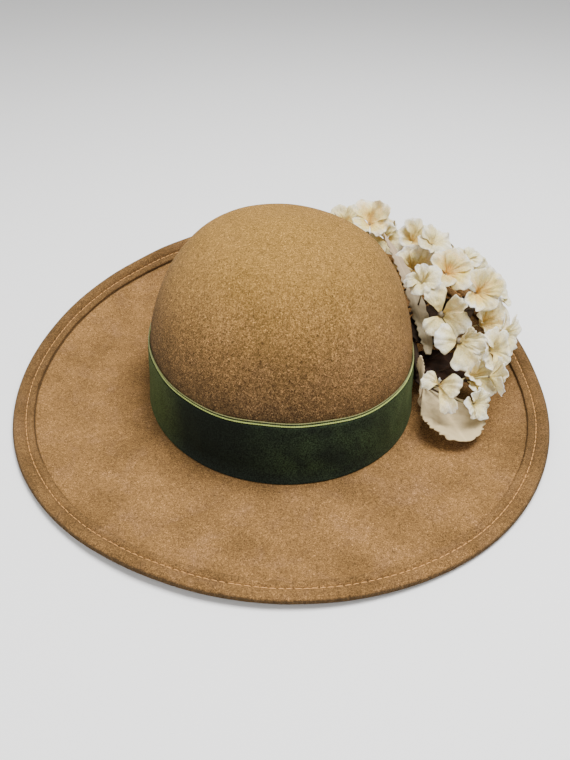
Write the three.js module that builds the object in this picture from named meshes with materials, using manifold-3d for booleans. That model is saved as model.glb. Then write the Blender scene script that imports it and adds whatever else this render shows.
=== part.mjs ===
// Wide-brimmed wool felt hat with a velvet band, two edge cords and a spray of cloth flowers.
// Millimetres, +Z up. The origin is the middle of the head opening on the plane that the hat rests on.
// -Y is the front, and the flowers lie at +X and towards the back.
import * as THREE from 'three';
import { mergeVertices } from 'three/addons/utils/BufferGeometryUtils.js';
import Module from 'manifold-3d';

const wasm = await Module();
wasm.setup();

// Points nearer to each other than this are one point
const MERGE_DISTANCE = 1e-4;

// Felt, velvet and the clearance between neighbours
const FELT = 2.5;
const VELVET = 1.2;
const CLEARANCE = 0.3;

// Head opening: an oval, half across and half from front to back
const HEAD_HALF_WIDTH = 84.5;
const HEAD_HALF_LENGTH = 97.9;

// Crown: a nearly upright wall behind the band, and a dome above it. Crown and brim are blocked from
// one piece of felt, and the two solids meet behind the foot of the band.
const CROWN_FOOT = FELT + CLEARANCE;
const WALL_TOP = 42.4;
const WALL_TAPER = 1.5;
const CROWN_TOP = 122.9;
const CROWN_LEAN_X = 2.9;
const CROWN_LEAN_Y = -0.6;
const DOME_FULLNESS = [1.0, 0.99, 1.02, 1.04, 0.99, 1.0];
const DOME_ROWS = 8;

// Brim: flat by the head and at the front, curling up to the back and right
const BRIM_WIDTH = 88.8;
const BRIM_FLAT = 4;
const BRIM_ROWS = [6, 18, 30, 42, 54, 65];
const BRIM_RISE_MEAN = 15.9;
const BRIM_RISE_WAVES = [
  { turns: 1, cosine: 6.2, sine: 21.2 },
  { turns: 2, cosine: -7.8, sine: 4.9 },
  { turns: 3, cosine: 0.2, sine: -0.7 },
];

// Hem: the brim's edge turned over on to its upper side, with a stitched groove
const HEM_WIDTH = 15;
const HEM_SECTION = [
  { inward: 15, above: 5.0 },
  { inward: 11, above: 5.1 },
  { inward: 9.7, above: 4.3 },
  { inward: 8.2, above: 5.2 },
  { inward: 4, above: 5.4 },
  { inward: 1.2, above: 4.6 },
  { inward: 0, above: 2.6 },
  { inward: 1.2, above: 0.6 },
  { inward: 4, above: 0 },
];

// Rounded lip of the head opening, from the resting ring to the foot of the crown
const LIP_SECTION = [
  { out: 2.5, up: 0 },
  { out: 0.7, up: 0.7 },
  { out: 0, up: 2.5 },
];

// Band and the two cords along its upper edge
const BAND_BOTTOM = FELT + CLEARANCE;
const BAND_TOP = 39.2;
const CORD_RADIUS = 0.55;
const CORD_SIDES = 5;
const LOWER_CORD_HEIGHT = 40.1;
const UPPER_CORD_HEIGHT = 41.9;

const COLUMNS = 52;

// Spray: one main stem along the band, and a bent wire branch to the back of each floret
const STEM_RADIUS = 2.2;
const STEM_SIDES = 6;
const STEM_STEPS = 16;
const BRANCH_SPOTS = 64;
const STEM_STANDOFF = 0.6;
const STEM_AROUND = [-18, 81];
const STEM_UP = [20, 34];
const STEM_CLIMB_END = 0.4;
const BRANCH_RADII = [1.1, 0.9, 0.8];
const BRANCH_SIDES = 3;
const BRANCH_KNEE = 7;

// Florets: around is degrees round the band from +X towards the back, out is from the band's face,
// face and lift are the heading and the elevation that the floret looks in, spin turns it about that.
const FLORET_RADIUS = 18;
const FLORET_THICKNESS = 1.0;
const FLORET_MIDDLE = 0.5;
const FLORET_CUP = 5;
const CUP_CURVE = 1.2;
const CUP_RIM_GROWTH = 2;
const CUP_FACE_GROWTH = 1.4;
const PETALS = 4;
const PETAL_OUTLINE = [
  { turn: -0.5, reach: 0.6 },
  { turn: -0.32, reach: 0.95 },
  { turn: 0, reach: 1 },
  { turn: 0.32, reach: 0.95 },
];
const FLORET_COLUMNS = ['around', 'out', 'up', 'face', 'lift', 'spin', 'size'];
const FLORET_ROWS = [
  [-3, 18, 54, -95, 40, 20, 1.05],
  [-11, 27, 44, -85, 35, 5, 1.05],
  [-29, 16, 33, -110, 45, 0, 0.9],
  [-21, 32, 30, -45, 45, -15, 1.05],
  [1, 43, 64, -75, 40, 10, 1.05],
  [5, 9, 69, -130, 60, 45, 0.85],
  [24, 23, 60, -95, 25, 0, 1.0],
  [17, 57, 56, -60, 30, 20, 1.0],
  [12, 33, 66, -90, 60, 0, 0.95],
  [30, 31, 74, -80, 50, 20, 0.95],
  [41, 29, 68, -95, 45, 45, 0.85],
  [45, 20, 80, -90, 60, 0, 0.9],
  [50, 46, 66, 0, 60, 30, 0.9],
  [58, 33, 70, -95, 60, 20, 0.85],
  [-1, 47, 42, -60, 30, 0, 1.0],
  [-7, 56, 44, -40, 20, 30, 0.85],
  [-16, 45, 45, -50, 20, 0, 0.9],
  [-24, 45, 38, -20, 0, 20, 0.75],
  [5, 60, 55, -20, 40, 0, 0.75],
  [14, 51, 71, -60, 70, 20, 0.6],
  [-29, 38, 24, -50, 30, 0, 0.65],
  [22, 34, 78, -60, 60, 0, 0.75],
  [28, 56, 56, 20, 35, 10, 1.0],
  [41, 56, 50, 35, 20, 30, 1.0],
  [58, 44, 50, 60, 20, 0, 1.0],
  [72, 22, 64, 80, 60, 20, 0.95],
  [74, 42, 38, 80, 10, 40, 0.95],
  [82, 26, 50, 100, 40, 10, 0.9],
  [13, 68, 34, 0, 35, 30, 0.8],
];

// Leaves: the midrib runs through three spots round the band, widest is where along it the blade is
// widest, and roll tilts the blade about it
const LEAF_THICKNESS = 1.0;
const LEAF_FOLD = 0.16;
const LEAF_RINGS = 6;
const LEAF_BLUNTNESS = 0.6;
const LEAF_ACROSS = [-1, 0, 1];
const LEAF_COLUMNS = ['name', 'base', 'middle', 'tip', 'halfWidth', 'widest', 'roll'];
const LEAF_ROWS = [
  ['leaf_crown_side', [-10, 10, 35], [11, 5.5, 56], [33, 7, 83], 5, 0.25, 10],
  ['leaf_back', [37, 4.2, 34.5], [46, 7, 68], [58, 8, 88], 6, 0.5, 20],
  ['leaf_upright', [-21, 9, 9], [-22.5, 5, 26], [-24, 2.5, 45], 4, 0.5, 0],
  ['leaf_broad', [-14, 7, 21], [-26, 22, 14], [-37, 40, 10], 19, 0.74, -5],
  ['leaf_outer', [-6, 3, 22], [-12, 30, 22], [-17, 50, 18], 13, 0.5, 10],
  ['leaf_under', [0, 6, 38], [6, 30, 43], [11, 58, 44], 14, 0.5, 20],
];

const FELT_COLOUR = 0xa9824f;
const VELVET_COLOUR = 0x1f3320;
const CORD_COLOUR = 0xc9c98a;
const STEM_COLOUR = 0x3a2a1c;
const PETAL_COLOUR = 0xf2ead2;
const LEAF_COLOUR = 0xcfc2a4;

const radians = THREE.MathUtils.degToRad;
const bandHalfWidth = HEAD_HALF_WIDTH + FELT + CLEARANCE + VELVET;
const bandHalfLength = HEAD_HALF_LENGTH + FELT + CLEARANCE + VELVET;
const ringAngles = Array.from({ length: COLUMNS }, (_, column) => (column * 2 * Math.PI) / COLUMNS);

const named = (columns, rows) =>
  rows.map((row) => Object.fromEntries(columns.map((column, index) => [column, row[index]])));

// A point at a distance outside an upright oval, square to its outline
function besideOval(halfWidth, halfLength, angle, out, up) {
  const square = new THREE.Vector2(Math.cos(angle) / halfWidth, Math.sin(angle) / halfLength).normalize();
  const x = halfWidth * Math.cos(angle) + out * square.x;
  const y = halfLength * Math.sin(angle) + out * square.y;
  return new THREE.Vector3(x, y, up);
}

const besideBand = (angle, out, up) => besideOval(bandHalfWidth, bandHalfLength, angle, out, up);
const openingRow = (out, up) =>
  ringAngles.map((angle) => besideOval(HEAD_HALF_WIDTH, HEAD_HALF_LENGTH, angle, out, up));
const wallInset = (up) => (WALL_TAPER * Math.max(0, up - FELT)) / (WALL_TOP - FELT);

// A closed solid from rows of points. Each row runs round once, and a pole closes each end;
// without poles the last row joins the first.
function skin(rows, firstPole, lastPole) {
  const count = rows[0].length;
  const points = rows.flat();
  const triangles = [];
  const at = (row, column) => (row % rows.length) * count + (column % count);
  const bands = firstPole ? rows.length - 1 : rows.length;
  for (let row = 0; row < bands; row += 1) {
    for (let column = 0; column < count; column += 1) {
      const near = at(row, column);
      const nearNext = at(row, column + 1);
      const far = at(row + 1, column);
      const farNext = at(row + 1, column + 1);
      triangles.push([near, far, farNext], [near, farNext, nearNext]);
    }
  }
  if (firstPole) {
    points.push(firstPole, lastPole);
    const first = points.length - 2;
    const last = points.length - 1;
    for (let column = 0; column < count; column += 1) {
      triangles.push([first, at(0, column), at(0, column + 1)]);
      triangles.push([last, at(rows.length - 1, column + 1), at(rows.length - 1, column)]);
    }
  }
  return facesOutward(points, triangles);
}

// The geometry of those triangles, turned inside out where they enclose a negative volume
function facesOutward(points, triangles) {
  const volume = triangles.reduce((sum, [a, b, c]) => {
    const cross = new THREE.Vector3().crossVectors(points[b], points[c]);
    return sum + points[a].dot(cross);
  }, 0);
  const ordered = volume < 0 ? triangles.map(([a, b, c]) => [a, c, b]) : triangles;
  const geometry = new THREE.BufferGeometry().setFromPoints(points);
  geometry.setIndex(ordered.flat());
  return geometry;
}

function toSolid(geometry) {
  const bare = geometry.clone();
  bare.deleteAttribute('normal');
  bare.deleteAttribute('uv');
  const merged = mergeVertices(bare, MERGE_DISTANCE);
  const mesh = new wasm.Mesh({
    numProp: 3,
    vertProperties: new Float32Array(merged.attributes.position.array),
    triVerts: new Uint32Array(merged.index.array),
  });
  return new wasm.Manifold(mesh);
}

function toGeometry(solid) {
  const mesh = solid.getMesh();
  const geometry = new THREE.BufferGeometry();
  geometry.setAttribute('position', new THREE.BufferAttribute(mesh.vertProperties, 3));
  geometry.setIndex(new THREE.BufferAttribute(mesh.triVerts, 1));
  return geometry;
}

const largestPiece = (solid) => solid.decompose().sort((a, b) => b.volume() - a.volume())[0];

// Crown

// How far the dome stands out at an elevation, as a share of a plain half ellipsoid
function domeFullness(elevation) {
  const last = DOME_FULLNESS.length - 1;
  const mirrored = (index) => DOME_FULLNESS[last - Math.abs(last - Math.abs(index))];
  const place = (elevation / (Math.PI / 2)) * last;
  const cell = Math.min(Math.floor(place), last - 1);
  const t = place - cell;
  const [a, b, c, d] = [cell - 1, cell, cell + 1, cell + 2].map(mirrored);
  const slopeB = (c - a) / 2;
  const slopeC = (d - b) / 2;
  const squared = 3 * (c - b) - 2 * slopeB - slopeC;
  const cubed = 2 * (b - c) + slopeB + slopeC;
  return b + t * slopeB + t ** 2 * squared + t ** 3 * cubed;
}

function domePoint(angle, elevation, inset) {
  const fullness = domeFullness(elevation);
  const across = fullness * Math.cos(elevation);
  const height = fullness * Math.sin(elevation);
  const shrink = FELT - WALL_TAPER - inset;
  const x = (HEAD_HALF_WIDTH + shrink) * across * Math.cos(angle) + CROWN_LEAN_X * height * height;
  const y = (HEAD_HALF_LENGTH + shrink) * across * Math.sin(angle) + CROWN_LEAN_Y * height * height;
  return new THREE.Vector3(x, y, WALL_TOP + (CROWN_TOP - WALL_TOP - inset) * height);
}

function domeRows(inset) {
  return Array.from({ length: DOME_ROWS }, (_, row) => {
    const elevation = ((DOME_ROWS - 1 - row) / DOME_ROWS) * (Math.PI / 2);
    return ringAngles.map((angle) => domePoint(angle, elevation, inset));
  });
}

function feltCrown() {
  const foot = [openingRow(FELT, CROWN_FOOT), openingRow(0, CROWN_FOOT)];
  const rows = [...domeRows(0), ...foot, ...domeRows(FELT).reverse()];
  return skin(rows, domePoint(0, Math.PI / 2, 0), domePoint(0, Math.PI / 2, FELT));
}

// Brim

function brimRise(angle) {
  return BRIM_RISE_WAVES.reduce(
    (rise, wave) => rise + wave.cosine * Math.cos(wave.turns * angle) + wave.sine * Math.sin(wave.turns * angle),
    BRIM_RISE_MEAN,
  );
}

// A point of the brim: along is measured on the felt from the band, above is square to its underside
function brimPoint(angle, along, above) {
  const rise = brimRise(angle);
  const span = BRIM_WIDTH - BRIM_FLAT;
  const share = Math.max(0, along - BRIM_FLAT) / span;
  const slope = Math.atan((2 * rise * share) / span);
  const reach = along - (2 / 3) * rise * rise * (share ** 3 / span);
  return besideBand(angle, reach - above * Math.sin(slope), rise * share * share + above * Math.cos(slope));
}

const brimRow = (along, above) => ringAngles.map((angle) => brimPoint(angle, along, above));

function feltBrim() {
  const alongs = [...BRIM_ROWS, BRIM_WIDTH - HEM_WIDTH];
  const upperSide = alongs.map((along) => brimRow(along, FELT));
  const hem = HEM_SECTION.map(({ inward, above }) => brimRow(BRIM_WIDTH - inward, above));
  const underside = [BRIM_FLAT, ...alongs].map((along) => brimRow(along, 0)).reverse();
  const lip = LIP_SECTION.map(({ out, up }) => openingRow(out, up));
  return skin([...upperSide, ...hem, ...underside, ...lip]);
}

// Band and cords

function velvetBand() {
  const corners = [
    { out: -VELVET, up: BAND_BOTTOM },
    { out: 0, up: BAND_BOTTOM },
    { out: 0, up: BAND_TOP },
    { out: -VELVET, up: BAND_TOP },
  ];
  const rows = corners.map(({ out, up }) =>
    ringAngles.map((angle) => besideBand(angle, out - wallInset(up), up)));
  return skin(rows);
}

function edgeCord(height) {
  const middle = CORD_RADIUS - VELVET - wallInset(height);
  const rows = Array.from({ length: CORD_SIDES }, (_, side) => {
    const turn = (side * 2 * Math.PI) / CORD_SIDES;
    const out = middle + CORD_RADIUS * Math.cos(turn);
    const up = height + CORD_RADIUS * Math.sin(turn);
    return ringAngles.map((angle) => besideBand(angle, out, up));
  });
  return skin(rows);
}

// Spray

// The main stem climbs from its front end and then runs level, just clear of the band
class StemCurve extends THREE.Curve {
  getPoint(share) {
    const around = THREE.MathUtils.lerp(STEM_AROUND[0], STEM_AROUND[1], share);
    const climb = THREE.MathUtils.smoothstep(share, 0, STEM_CLIMB_END);
    const up = THREE.MathUtils.lerp(STEM_UP[0], STEM_UP[1], climb);
    return besideBand(radians(around), STEM_STANDOFF + STEM_RADIUS - wallInset(up), up);
  }
}

const floretRows = named(FLORET_COLUMNS, FLORET_ROWS);
const leafRows = named(LEAF_COLUMNS, LEAF_ROWS);

// Where a floret sits: its middle, the way it faces, and the two directions across it
function floretFrame({ around, out, up, face, lift, spin }) {
  const heading = radians(face);
  const rise = radians(lift);
  const facing = new THREE.Vector3(
    Math.cos(rise) * Math.cos(heading),
    Math.cos(rise) * Math.sin(heading),
    Math.sin(rise),
  );
  const level = new THREE.Vector3(-Math.sin(heading), Math.cos(heading), 0);
  const across = level.applyAxisAngle(facing, radians(spin));
  const along = new THREE.Vector3().crossVectors(facing, across);
  const middle = besideBand(radians(around), out, up);
  return new THREE.Matrix4().makeBasis(across, along, facing).setPosition(middle);
}

// A cupped floret of four rounded petals, facing +Z, its back at the origin. Its faces slope and its
// rim turns corners, so they grow by more than the clearance that they make room for.
function floretSolid(size, grow) {
  const radius = FLORET_RADIUS * size + CUP_RIM_GROWTH * grow;
  const outline = Array.from({ length: PETALS }, (_, petal) =>
    PETAL_OUTLINE.map(({ turn, reach }) => ({
      angle: ((petal + turn) * 2 * Math.PI) / PETALS,
      reach: reach * radius,
    }))).flat();
  const ring = (share, lift) => outline.map(({ angle, reach }) => {
    const distance = reach * share;
    const cup = FLORET_CUP * size * (distance / radius) ** CUP_CURVE;
    return new THREE.Vector3(distance * Math.cos(angle), distance * Math.sin(angle), cup + lift);
  });
  const front = FLORET_THICKNESS + CUP_FACE_GROWTH * grow;
  const back = -CUP_FACE_GROWTH * grow;
  const rows = [ring(FLORET_MIDDLE, front), ring(1, front), ring(1, back)];
  return skin(rows, new THREE.Vector3(0, 0, front), new THREE.Vector3(0, 0, back));
}

// Growing a prism's corners by this much moves its faces out by the grown amount
const cornerGrowth = (grow, sides) => grow / Math.cos(Math.PI / sides);

// A branch leaves the stem, bends at a knee behind its floret and meets the floret's back squarely
function branchSolid(row, stemSpots, grow) {
  const frame = floretFrame(row);
  const facing = new THREE.Vector3().setFromMatrixColumn(frame, 2);
  const middle = new THREE.Vector3().setFromMatrixPosition(frame);
  const tip = middle.clone().addScaledVector(facing, grow - CLEARANCE);
  const knee = middle.clone().addScaledVector(facing, -BRANCH_KNEE);
  const foot = stemSpots.reduce((best, spot) => (spot.distanceTo(knee) < best.distanceTo(knee) ? spot : best));
  const leaving = new THREE.Vector3().subVectors(knee, foot).normalize();
  const turning = new THREE.Vector3().addVectors(leaving, facing).normalize();
  const across = new THREE.Vector3().crossVectors(leaving, facing).normalize();
  const stations = [
    { spot: foot, heading: leaving },
    { spot: knee, heading: turning },
    { spot: tip, heading: facing },
  ];
  const rows = stations.map(({ spot, heading }, station) => {
    const square = new THREE.Vector3().crossVectors(heading, across);
    const radius = BRANCH_RADII[station] + cornerGrowth(grow, BRANCH_SIDES);
    return Array.from({ length: BRANCH_SIDES }, (_, side) => {
      const turn = (side * 2 * Math.PI) / BRANCH_SIDES;
      return spot.clone()
        .addScaledVector(across, radius * Math.cos(turn))
        .addScaledVector(square, radius * Math.sin(turn));
    });
  });
  return toSolid(skin(rows, foot, tip));
}

function spraySolid(grow) {
  const curve = new StemCurve();
  const radius = STEM_RADIUS + cornerGrowth(grow, STEM_SIDES);
  const corners = Array.from({ length: STEM_SIDES }, (_, side) => {
    const turn = (side * 2 * Math.PI) / STEM_SIDES;
    return new THREE.Vector2(radius * Math.cos(turn), radius * Math.sin(turn));
  });
  const stem = new THREE.ExtrudeGeometry(new THREE.Shape(corners), { steps: STEM_STEPS, extrudePath: curve });
  const spots = curve.getPoints(BRANCH_SPOTS);
  return floretRows.reduce((whole, row) => whole.add(branchSolid(row, spots, grow)), toSolid(stem));
}

// A leaf: a shallow trough laid along its midrib
function leafSolid({ base, middle, tip, halfWidth, widest, roll }, grow) {
  const spots = [base, middle, tip].map(([around, out, up]) => besideBand(radians(around), out, up));
  const midrib = new THREE.CatmullRomCurve3(spots, false, 'centripetal');
  const towardsTip = Math.log(0.5) / Math.log(widest);
  const rows = Array.from({ length: LEAF_RINGS }, (_, ring) => {
    const share = (ring + 1) / (LEAF_RINGS + 1);
    const tangent = midrib.getTangent(share);
    const level = new THREE.Vector3().crossVectors(tangent, new THREE.Vector3(0, 0, 1)).normalize();
    const side = level.applyAxisAngle(tangent, radians(roll));
    const square = new THREE.Vector3().crossVectors(side, tangent);
    const half = halfWidth * Math.sin(Math.PI * share ** towardsTip) ** LEAF_BLUNTNESS + grow;
    const centre = midrib.getPoint(share);
    const spot = (across, lift) => {
      const fold = LEAF_FOLD * half * Math.abs(across);
      return centre.clone().addScaledVector(side, across * half).addScaledVector(square, fold + lift);
    };
    const upper = LEAF_ACROSS.map((across) => spot(across, LEAF_THICKNESS + grow));
    const lower = LEAF_ACROSS.map((across) => spot(-across, -grow));
    return [...upper, ...lower];
  });
  return toSolid(skin(rows, midrib.getPoint(0), midrib.getPoint(1)));
}

const hat = new THREE.Group();

function addPiece(name, geometry, colour, roughness) {
  const material = new THREE.MeshStandardMaterial({ color: colour, roughness, metalness: 0 });
  const mesh = new THREE.Mesh(geometry, material);
  mesh.name = name;
  hat.add(mesh);
}

addPiece('felt_crown', feltCrown(), FELT_COLOUR, 0.95);
addPiece('felt_brim', feltBrim(), FELT_COLOUR, 0.95);
addPiece('velvet_band', velvetBand(), VELVET_COLOUR, 0.8);
addPiece('edge_cord_lower', edgeCord(LOWER_CORD_HEIGHT), CORD_COLOUR, 0.5);
addPiece('edge_cord_upper', edgeCord(UPPER_CORD_HEIGHT), CORD_COLOUR, 0.5);
addPiece('spray_stem', toGeometry(spraySolid(0)), STEM_COLOUR, 0.9);

// Leaves and florets are cut back where they would come nearer than the clearance to what is already there
let taken = spraySolid(CLEARANCE);
for (const row of leafRows) {
  const leaf = largestPiece(leafSolid(row, 0).subtract(taken));
  addPiece(row.name, toGeometry(leaf), LEAF_COLOUR, 0.85);
  taken = taken.add(leafSolid(row, CLEARANCE));
}
floretRows.forEach((row, index) => {
  const frame = floretFrame(row);
  const place = (grow) => toSolid(floretSolid(row.size, grow).applyMatrix4(frame));
  const floret = largestPiece(place(0).subtract(taken));
  const name = `floret_${String(index + 1).padStart(2, '0')}`;
  addPiece(name, toGeometry(floret), PETAL_COLOUR, 0.8);
  taken = taken.add(place(CLEARANCE));
});

export default hat;
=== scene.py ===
import math

import bpy
import numpy as np
from mathutils import Matrix, Vector


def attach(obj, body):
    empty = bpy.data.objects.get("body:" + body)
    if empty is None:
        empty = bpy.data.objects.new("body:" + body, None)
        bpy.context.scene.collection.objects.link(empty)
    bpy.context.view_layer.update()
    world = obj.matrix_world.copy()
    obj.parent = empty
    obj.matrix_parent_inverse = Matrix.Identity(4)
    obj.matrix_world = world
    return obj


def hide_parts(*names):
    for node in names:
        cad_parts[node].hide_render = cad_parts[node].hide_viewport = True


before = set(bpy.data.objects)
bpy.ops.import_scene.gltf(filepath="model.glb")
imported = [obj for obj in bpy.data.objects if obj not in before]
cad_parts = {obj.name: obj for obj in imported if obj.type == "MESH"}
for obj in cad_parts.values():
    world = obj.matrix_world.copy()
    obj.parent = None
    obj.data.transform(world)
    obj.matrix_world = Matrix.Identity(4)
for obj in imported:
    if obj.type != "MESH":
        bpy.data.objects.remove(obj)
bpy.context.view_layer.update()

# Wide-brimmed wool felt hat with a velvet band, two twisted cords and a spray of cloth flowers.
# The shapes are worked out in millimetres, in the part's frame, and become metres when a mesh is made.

MM = 0.001
FELT = 2.5
VELVET = 1.2
CLEARANCE = 0.3

# Head opening, crown and brim, as in the solids
HEAD_HALF_WIDTH = 84.5
HEAD_HALF_LENGTH = 97.9
WALL_TOP = 42.4
WALL_TAPER = 1.5
CROWN_TOP = 122.9
CROWN_LEAN_X = 2.9
CROWN_LEAN_Y = -0.6
DOME_FULLNESS = [1.0, 0.99, 1.02, 1.04, 0.99, 1.0]
BRIM_WIDTH = 88.8
BRIM_FLAT = 4.0
BRIM_RISE_MEAN = 15.9
BRIM_RISE_WAVES = [(1, 6.2, 21.2), (2, -7.8, 4.9), (3, 0.2, -0.7)]

# The hem, a little narrower than in the solids. Its section goes inward from the edge, and above the brim's
# underside. It turns over the edge at EDGE_ROW, and what lies farther in than RAW_EDGE_INWARD is its raw edge
HEM_WIDTH = 13.4
RAW_EDGE_INWARD = 13
EDGE_ROW = 15
HEM_SECTION = [
    (13.5, 2.6), (13.4, 4.5), (13.1, 5.0), (12.0, 5.25), (10.2, 5.1), (9.3, 4.6), (8.7, 3.95), (8.5, 3.8),
    (8.3, 3.95), (7.7, 4.7), (6.9, 5.3), (5.3, 5.7), (3.8, 5.7), (2.4, 5.3), (1.2, 4.6), (0.4, 3.6),
    (0.0, 2.6), (0.4, 1.6), (1.2, 0.7), (2.4, 0.2), (4.0, 0.0),
]
UNDER_STITCH_SECTION = [(7.7, 0.0), (8.3, 0.5), (8.5, 0.6), (8.7, 0.5), (9.3, 0.0), (12.6, 0.0)]
LIP_SECTION = [(2.5, 0.0), (1.6, 0.15), (0.7, 0.7), (0.15, 1.6), (0.0, 2.5)]

# Waves of the raw edge: how many go round the hat, their depth and their phase
RAW_EDGE_WAVES = [(17, 0.14, 0), (29, 0.1, 1), (53, 0.06, 2)]

# Stitches: for the upper and the under run, the height above the brim's underside and the arch of a stitch
STITCH_INWARD = 8.5
STITCH_PITCH = 4.2
STITCH_LENGTH = 3.9
THREAD_RADIUS = 0.24
GROOVE_HEIGHT = 4.3
STITCH_RUNS = [(3.75, 0.4), (0.5, -0.3)]

# Band and cords
BAND_BOTTOM = FELT + CLEARANCE
BAND_TOP = 39.2
LOWER_CORD_HEIGHT = 40.1
UPPER_CORD_HEIGHT = 41.9
SELVEDGE_TOP = 41.5
CORD_RADIUS = 0.55
CORD_TWISTS = 190

# How much higher the band's top line runs, round the hat, because it was set a little askew
TOP_RAISE_MEAN = 1.65
TOP_RAISE_WAVES = [(1, -2.29, -0.79), (2, -0.71, 0.38), (3, 0.03, 0.52), (7, 0.2, 0.15), (13, 0.1, 0.14)]
FOOT_FLARE = 0.8

# Faint slanting ripples in the velvet: depth, how many go round the hat, slant and phase
VELVET_RIPPLES = [(0.16, 9, 5, 0), (0.12, 23, -7, 1), (0.1, 41, 3, 0)]

# Spray
STEM_RADIUS = 2.2
STEM_STANDOFF = 0.6
STEM_AROUND = (-18, 81)
STEM_UP = (20, 34)
STEM_CLIMB_END = 0.4
BRANCH_KNEE = 7

# Shorter stems bound in above the main one, dark things that also stand for the shade between the crown and
# the spray: how much higher they run, and where along it they end
SIDE_STEMS = [(4.0, 0.55), (8.0, 0.4)]
WIRE_RADIUS = 0.4
WIRE_SIDES = 8
WIRE_STEPS = 14
FLORET_RADIUS = 18

# Grid of the felt: points round the hat, and how far from the pole its first row lies
FELT_COLUMNS = 416
POLE_STEP = math.radians(1.2)

band_half_width = HEAD_HALF_WIDTH + FELT + CLEARANCE + VELVET
band_half_length = HEAD_HALF_LENGTH + FELT + CLEARANCE + VELVET


# Materials

def linear(red, green, blue):
    """A display colour, 0 to 255, as the linear colour that a shader takes."""
    def channel(value):
        share = value / 255
        return share / 12.92 if share <= 0.04045 else ((share + 0.055) / 1.055) ** 2.4
    return (channel(red), channel(green), channel(blue), 1.0)


class Material:
    """A node material built round one Principled shader, with short calls for the nodes used here."""

    def __init__(self, name, **constants):
        self.material = bpy.data.materials.new(name)
        self.material.use_nodes = True
        self.tree = self.material.node_tree
        self.shader = self.tree.nodes["Principled BSDF"]
        for socket, value in constants.items():
            self.shader.inputs[socket.replace("_", " ")].default_value = value
        self.place = self.node("ShaderNodeTexCoord").outputs["Object"]

    def node(self, kind, inputs=None, **settings):
        """A node whose inputs are other nodes' outputs, plain numbers or display colours."""
        made = self.tree.nodes.new(kind)
        for key, value in settings.items():
            setattr(made, key, value)
        for key, value in (inputs or {}).items():
            if isinstance(value, bpy.types.NodeSocket):
                self.tree.links.new(value, made.inputs[key])
            else:
                made.inputs[key].default_value = linear(*value) if isinstance(value, tuple) else value
        return made

    def noise(self, size_mm, detail, roughness, distortion=0.0):
        """Noise, from 0 to 1, whose blobs are about that size."""
        inputs = {
            "Vector": self.place,
            "Scale": 1 / (size_mm * MM),
            "Detail": detail,
            "Roughness": roughness,
            "Distortion": distortion,
        }
        return self.node("ShaderNodeTexNoise", inputs).outputs["Fac"]

    def attribute(self, name):
        return self.node("ShaderNodeAttribute", attribute_name=name).outputs["Fac"]

    def math(self, operation, first, second=0.0, third=None):
        inputs = {0: first, 1: second}
        if third is not None:
            inputs[2] = third
        return self.node("ShaderNodeMath", inputs, operation=operation).outputs[0]

    def spread(self, value, low, high, to_low=0.0, to_high=1.0):
        """value between low and high, spread evenly from to_low to to_high."""
        inputs = {"Value": value, "From Min": low, "From Max": high, "To Min": to_low, "To Max": to_high}
        return self.node("ShaderNodeMapRange", inputs).outputs["Result"]

    def mix(self, factor, first, second):
        """The first colour, turning into the second as factor goes from 0 to 1."""
        inputs = {"Factor": factor, 6: first, 7: second}
        return self.node("ShaderNodeMix", inputs, data_type="RGBA").outputs[2]

    def scale(self, colour, amount):
        """The colour, made that many times as bright."""
        inputs = {0: colour, "Scale": amount}
        return self.node("ShaderNodeVectorMath", inputs, operation="SCALE").outputs["Vector"]

    def bump(self, height, distance_mm, strength):
        inputs = {"Height": height, "Distance": distance_mm * MM, "Strength": strength}
        return self.node("ShaderNodeBump", inputs).outputs["Normal"]

    def finish(self, colour, normal):
        self.tree.links.new(colour, self.shader.inputs["Base Color"])
        self.tree.links.new(normal, self.shader.inputs["Normal"])
        return self.material


def felt_material():
    """Brushed wool felt, golden on top, with a rough, mottled nap, and darkened by painted shade low on the
    crown, beside the band, far to the right and at the edge.
    """
    felt = Material("wool_felt", Roughness=0.95, Sheen_Weight=0.1, Sheen_Roughness=0.6,
                    Sheen_Tint=linear(206, 168, 112), Specular_IOR_Level=0.15)
    patches = felt.noise(34, 3, 0.5)
    blush = felt.noise(19, 3, 0.6, 0.6)
    mottle = felt.noise(2.8, 4, 0.65, 0.5)
    nap = felt.noise(0.75, 3, 0.75, 1.6)
    fibre = felt.noise(0.6, 2, 0.6, 0.5)
    colour = felt.mix(felt.spread(patches, 0.35, 0.65), (112, 82, 46), (137, 101, 59))
    colour = felt.mix(felt.spread(blush, 0.5, 0.78, 0.0, 0.4), colour, (141, 106, 76))
    colour = felt.mix(felt.attribute("golden"), colour, (137, 104, 47))
    # Painted shade: the felt darkens towards a deep umber as far as its painted shade goes
    colour = felt.mix(felt.attribute("painted_shade"), colour, (50, 37, 22))
    fine = felt.spread(nap, 0.32, 0.68, -0.85, 0.85)
    coarse = felt.spread(mottle, 0.3, 0.7, -0.15, 0.15)
    rough = felt.math("MULTIPLY", felt.math("ADD", fine, coarse), felt.attribute("fluff"))
    colour = felt.scale(colour, felt.math("POWER", 4.0, rough))
    height = felt.math("ADD", nap, felt.math("MULTIPLY", fibre, 0.5))
    return felt.finish(colour, felt.bump(height, 0.55, 0.9))


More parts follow.
